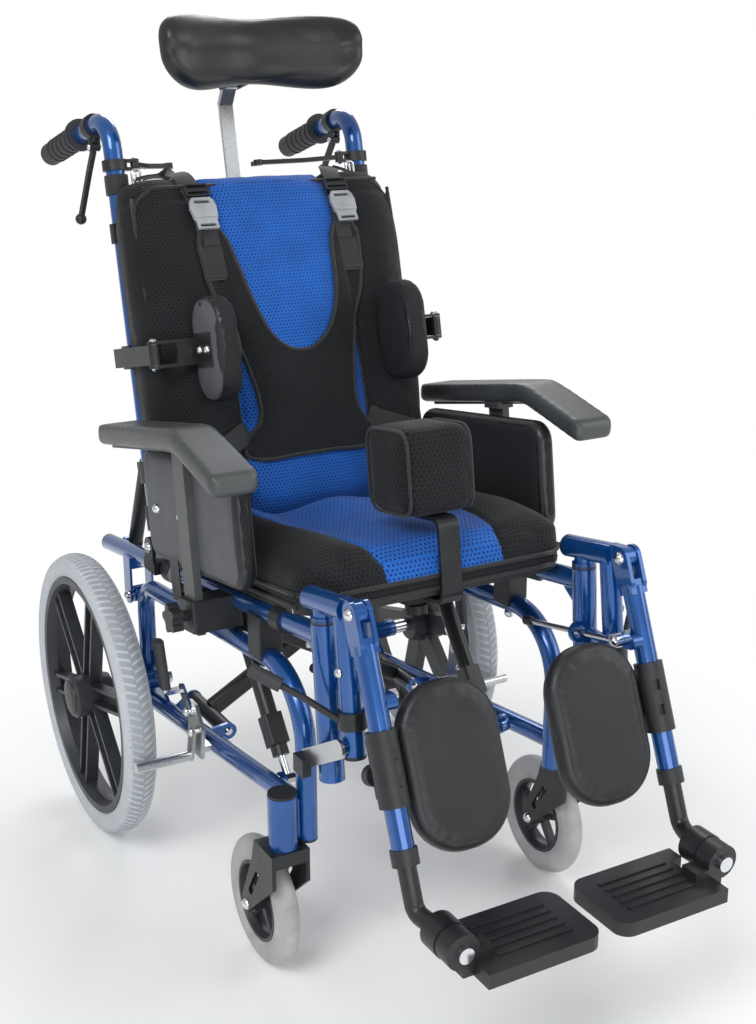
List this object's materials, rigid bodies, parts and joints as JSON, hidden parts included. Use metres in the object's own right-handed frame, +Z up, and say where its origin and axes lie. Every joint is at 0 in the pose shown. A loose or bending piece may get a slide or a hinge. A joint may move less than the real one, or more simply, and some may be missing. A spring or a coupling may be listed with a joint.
{
  "type": "tilt in space wheelchair",
  "caption": "Attendant wheelchair whose seat tilts on gas struts, with reclining back, headrest, side pads, vest, pommel, raising legrests, casters and hand brakes.",
  "frame": {"origin": "on the floor, in the middle of the floor box of the chair at rest", "axes": "+Z up, the chair faces -Y, +X is the occupant's left"},
  "size_m": [0.6292, 1.1398, 1.1325],
  "materials": {
    "frame_blue": "gloss",
    "frame_black": "satin",
    "chrome": "polished",
    "steel": "brushed",
    "black_plastic": "matte",
    "wheel_black": "satin",
    "grip_rubber": "matte",
    "tyre_grey": "matte",
    "mesh_fabric": "woven mesh",
    "pad_vinyl": "satin",
    "armrest_pad": "satin",
    "strap": "woven",
    "board": "matte"
  },
  "bodies": {
    "base": {"left_base_frame": "frame_blue", "right_base_frame": "frame_blue", "cross_braces": "frame_black", "rail_saddles": "black_plastic", "frame_bolts": "chrome"},
    "left_rear_wheel": {"left_rear_wheel": "wheel_black"},
    "left_caster_fork": {"left_caster_fork": "frame_black"},
    "left_caster_wheel": {"left_caster_wheel": "wheel_black"},
    "left_lock_lever": {"left_lock_lever": "chrome"},
    "left_lock_shoe": {"left_lock_shoe": "chrome"},
    "right_rear_wheel": {"right_rear_wheel": "wheel_black"},
    "right_caster_fork": {"right_caster_fork": "frame_black"},
    "right_caster_wheel": {"right_caster_wheel": "wheel_black"},
    "right_lock_lever": {"right_lock_lever": "chrome"},
    "right_lock_shoe": {"right_lock_shoe": "chrome"},
    "tilt_rods": {"tilt_rods": "chrome"},
    "tilt_cylinders": {"tilt_cylinders": "frame_black"},
    "seat": {"left_seat_frame": "frame_blue", "right_seat_frame": "frame_blue", "seat_tube_boots": "black_plastic", "seat_board": "board", "seat_cushion": "mesh_fabric", "armrest_clamps": "frame_black", "hip_supports": "pad_vinyl"},
    "pommel": {"pommel_bracket": "frame_black", "pommel_block": "mesh_fabric"},
    "recline_cylinders": {"recline_cylinders": "frame_black"},
    "recline_rods": {"recline_rods": "chrome"},
    "back": {"back_canes": "frame_blue", "back_cushion": "mesh_fabric", "vest": "strap", "push_grips": "grip_rubber", "headrest_crossbar": "frame_black", "trunk_brackets": "frame_black", "lever_clamps": "black_plastic", "cables": "grip_rubber"},
    "headrest_post": {"headrest_post": "steel"},
    "headrest_pad": {"headrest_pad": "pad_vinyl"},
    "left_trunk_pad": {"left_trunk_pad": "mesh_fabric"},
    "left_armrest": {"left_armrest": "armrest_pad"},
    "left_brake_lever": {"left_brake_lever": "black_plastic"},
    "left_hanger": {"left_hanger": "frame_blue"},
    "left_release_lever": {"left_release_lever": "chrome"},
    "left_legrest": {"left_legrest": "frame_blue"},
    "left_elevation_rod": {"left_elevation_rod": "chrome"},
    "left_calf_pad": {"left_calf_pad": "pad_vinyl"},
    "left_foot_tube": {"left_foot_tube": "frame_black"},
    "left_footplate": {"left_footplate": "black_plastic"},
    "right_trunk_pad": {"right_trunk_pad": "mesh_fabric"},
    "right_armrest": {"right_armrest": "armrest_pad"},
    "right_brake_lever": {"right_brake_lever": "black_plastic"},
    "right_hanger": {"right_hanger": "frame_blue"},
    "right_release_lever": {"right_release_lever": "chrome"},
    "right_legrest": {"right_legrest": "frame_blue"},
    "right_elevation_rod": {"right_elevation_rod": "chrome"},
    "right_calf_pad": {"right_calf_pad": "pad_vinyl"},
    "right_foot_tube": {"right_foot_tube": "frame_black"},
    "right_footplate": {"right_footplate": "black_plastic"},
    "tilt_lever": {"tilt_lever": "black_plastic"},
    "recline_lever": {"recline_lever": "black_plastic"}
  },
  "joints": [
    {"name": "left_wheel_spin", "type": "hinge", "parent": "base", "child": "left_rear_wheel", "pos_m": [0.276, 0.27608, 0.203], "axis": [1, 0, 0], "continuous": true},
    {"name": "left_caster_swivel", "type": "hinge", "parent": "base", "child": "left_caster_fork", "pos_m": [0.2119, -0.21392, 0.254], "axis": [0, 0, 1], "continuous": true},
    {"name": "left_caster_spin", "type": "hinge", "parent": "left_caster_fork", "child": "left_caster_wheel", "pos_m": [0.2119, -0.15592, 0.082], "axis": [1, 0, 0], "continuous": true},
    {"name": "left_lock_push", "type": "hinge", "parent": "base", "child": "left_lock_lever", "pos_m": [0.212, 0.06408, 0.246], "axis": [1, 0, 0], "range_deg": [0, 50]},
    {"name": "left_shoe_swing", "type": "hinge", "parent": "base", "child": "left_lock_shoe", "pos_m": [0.216, 0.05008, 0.222], "axis": [1, 0, 0], "range_deg": [0, 8]},
    {"name": "right_wheel_spin", "type": "hinge", "parent": "base", "child": "right_rear_wheel", "pos_m": [-0.276, 0.27608, 0.203], "axis": [1, 0, 0], "continuous": true},
    {"name": "right_caster_swivel", "type": "hinge", "parent": "base", "child": "right_caster_fork", "pos_m": [-0.2119, -0.21392, 0.254], "axis": [0, 0, 1], "continuous": true},
    {"name": "right_caster_spin", "type": "hinge", "parent": "right_caster_fork", "child": "right_caster_wheel", "pos_m": [-0.2119, -0.15592, 0.082], "axis": [1, 0, 0], "continuous": true},
    {"name": "right_lock_push", "type": "hinge", "parent": "base", "child": "right_lock_lever", "pos_m": [-0.212, 0.06408, 0.246], "axis": [1, 0, 0], "range_deg": [0, 50]},
    {"name": "right_shoe_swing", "type": "hinge", "parent": "base", "child": "right_lock_shoe", "pos_m": [-0.216, 0.05008, 0.222], "axis": [1, 0, 0], "range_deg": [0, 8]},
    {"name": "tilt_rod_pivot", "type": "hinge", "parent": "base", "child": "tilt_rods", "pos_m": [0, -0.10692, 0.205], "axis": [-1, 0, 0], "range_deg": [-3.6, 0]},
    {"name": "tilt_cylinder_slide", "type": "slide", "parent": "tilt_rods", "child": "tilt_cylinders", "axis": [0, 0.6105, 0.792], "range_m": [0, 0.10928]},
    {"name": "tilt", "type": "hinge", "parent": "base", "child": "seat", "pos_m": [0, 0.32808, 0.322], "axis": [-1, 0, 0], "range_deg": [0, 22]},
    {"name": "pommel_slide", "type": "slide", "parent": "seat", "child": "pommel", "axis": [0, -0.9903, 0.1392], "range_m": [0, 0.05]},
    {"name": "recline_cylinder_pivot", "type": "hinge", "parent": "seat", "child": "recline_cylinders", "pos_m": [0, 0.41608, 0.36972], "axis": [-1, 0, 0], "range_deg": [0, 19.79]},
    {"name": "recline_rod_slide", "type": "slide", "parent": "recline_cylinders", "child": "recline_rods", "axis": [0, -0.4275, 0.904], "range_m": [-0.10684, 0]},
    {"name": "recline", "type": "hinge", "parent": "seat", "child": "back", "pos_m": [0, 0.21608, 0.42983], "axis": [-1, 0, 0], "range_deg": [0, 35]},
    {"name": "headrest_height", "type": "slide", "parent": "back", "child": "headrest_post", "axis": [0, 0.2045, 0.9789], "range_m": [-0.03, 0.06]},
    {"name": "headrest_nod", "type": "hinge", "parent": "headrest_post", "child": "headrest_pad", "pos_m": [0, 0.35038, 1.04333], "axis": [-1, 0, 0], "range_deg": [-12, 20]},
    {"name": "left_trunk_swing", "type": "hinge", "parent": "back", "child": "left_trunk_pad", "pos_m": [0.211, 0.13674, 0.71509], "axis": [0, 0.2045, 0.9789], "range_deg": [0, 35]},
    {"name": "left_armrest_height", "type": "slide", "parent": "seat", "child": "left_armrest", "axis": [0, 0.1392, 0.9903], "range_m": [0, 0.04]},
    {"name": "left_brake_squeeze", "type": "hinge", "parent": "back", "child": "left_brake_lever", "pos_m": [0.1876, 0.39398, 0.95986], "axis": [1, 0, 0], "range_deg": [0, 18], "stiffness_Nm_per_rad": 1.2, "springref_deg": -14.32},
    {"name": "left_hanger_swing", "type": "hinge", "parent": "seat", "child": "left_hanger", "pos_m": [0.18, -0.26383, 0.482], "axis": [0, 0.0872, 0.9962], "range_deg": [0, 70]},
    {"name": "left_release_push", "type": "hinge", "parent": "left_hanger", "child": "left_release_lever", "pos_m": [0.18, -0.32832, 0.392], "axis": [0, 0.1396, 0.9902], "range_deg": [0, 25], "stiffness_Nm_per_rad": 0.5, "springref_deg": -14.32},
    {"name": "left_leg_raise", "type": "hinge", "parent": "left_hanger", "child": "left_legrest", "pos_m": [0.18, -0.34192, 0.52], "axis": [-1, 0, 0], "range_deg": [0, 60]},
    {"name": "left_rod_swing", "type": "hinge", "parent": "left_legrest", "child": "left_elevation_rod", "pos_m": [0.153, -0.36416, 0.4279], "axis": [-1, 0, 0], "range_deg": [-43.82, 0]},
    {"name": "left_calf_swing", "type": "hinge", "parent": "left_legrest", "child": "left_calf_pad", "pos_m": [0.18, -0.38976, 0.40452], "axis": [0, 0.3827, 0.9239], "range_deg": [0, 90]},
    {"name": "left_foot_length", "type": "slide", "parent": "left_legrest", "child": "left_foot_tube", "axis": [0, -0.3827, -0.9239], "range_m": [0, 0.08]},
    {"name": "left_plate_flip", "type": "hinge", "parent": "left_foot_tube", "child": "left_footplate", "pos_m": [0.172, -0.53192, 0.222], "axis": [0, 1, 0], "range_deg": [0, 90]},
    {"name": "right_trunk_swing", "type": "hinge", "parent": "back", "child": "right_trunk_pad", "pos_m": [-0.211, 0.13674, 0.71509], "axis": [0, -0.2045, -0.9789], "range_deg": [0, 35]},
    {"name": "right_armrest_height", "type": "slide", "parent": "seat", "child": "right_armrest", "axis": [0, 0.1392, 0.9903], "range_m": [0, 0.04]},
    {"name": "right_brake_squeeze", "type": "hinge", "parent": "back", "child": "right_brake_lever", "pos_m": [-0.1876, 0.39398, 0.95986], "axis": [1, 0, 0], "range_deg": [0, 18], "stiffness_Nm_per_rad": 1.2, "springref_deg": -14.32},
    {"name": "right_hanger_swing", "type": "hinge", "parent": "seat", "child": "right_hanger", "pos_m": [-0.18, -0.26383, 0.482], "axis": [0, -0.0872, -0.9962], "range_deg": [0, 70]},
    {"name": "right_release_push", "type": "hinge", "parent": "right_hanger", "child": "right_release_lever", "pos_m": [-0.18, -0.32832, 0.392], "axis": [0, -0.1396, -0.9902], "range_deg": [0, 25], "stiffness_Nm_per_rad": 0.5, "springref_deg": -14.32},
    {"name": "right_leg_raise", "type": "hinge", "parent": "right_hanger", "child": "right_legrest", "pos_m": [-0.18, -0.34192, 0.52], "axis": [-1, 0, 0], "range_deg": [0, 60]},
    {"name": "right_rod_swing", "type": "hinge", "parent": "right_legrest", "child": "right_elevation_rod", "pos_m": [-0.153, -0.36416, 0.4279], "axis": [-1, 0, 0], "range_deg": [-43.82, 0]},
    {"name": "right_calf_swing", "type": "hinge", "parent": "right_legrest", "child": "right_calf_pad", "pos_m": [-0.18, -0.38976, 0.40452], "axis": [0, -0.3827, -0.9239], "range_deg": [0, 90]},
    {"name": "right_foot_length", "type": "slide", "parent": "right_legrest", "child": "right_foot_tube", "axis": [0, -0.3827, -0.9239], "range_m": [0, 0.08]},
    {"name": "right_plate_flip", "type": "hinge", "parent": "right_foot_tube", "child": "right_footplate", "pos_m": [-0.172, -0.53192, 0.222], "axis": [0, -1, 0], "range_deg": [0, 90]},
    {"name": "tilt_squeeze", "type": "hinge", "parent": "back", "child": "tilt_lever", "pos_m": [-0.157, 0.32046, 0.93925], "axis": [0, -0.2045, -0.9789], "range_deg": [0, 14], "stiffness_Nm_per_rad": 1.2, "springref_deg": -14.32},
    {"name": "recline_squeeze", "type": "hinge", "parent": "back", "child": "recline_lever", "pos_m": [0.157, 0.32046, 0.93925], "axis": [0, 0.2045, 0.9789], "range_deg": [0, 14], "stiffness_Nm_per_rad": 1.2, "springref_deg": -14.32}
  ],
  "couplings": [
    {"joint": "left_shoe_swing", "follows": "left_lock_push", "ratio": 0.15},
    {"joint": "right_shoe_swing", "follows": "right_lock_push", "ratio": 0.15},
    {"joint": "tilt_rod_pivot", "follows": "tilt", "ratio": -0.15458},
    {"joint": "tilt_cylinder_slide", "follows": "tilt", "m_per_rad": 0.282},
    {"joint": "recline_cylinder_pivot", "follows": "recline", "ratio": 0.55675},
    {"joint": "recline_rod_slide", "follows": "recline", "m_per_rad": -0.17327},
    {"joint": "left_rod_swing", "follows": "left_leg_raise", "ratio": -0.722},
    {"joint": "right_rod_swing", "follows": "right_leg_raise", "ratio": -0.722}
  ]
}
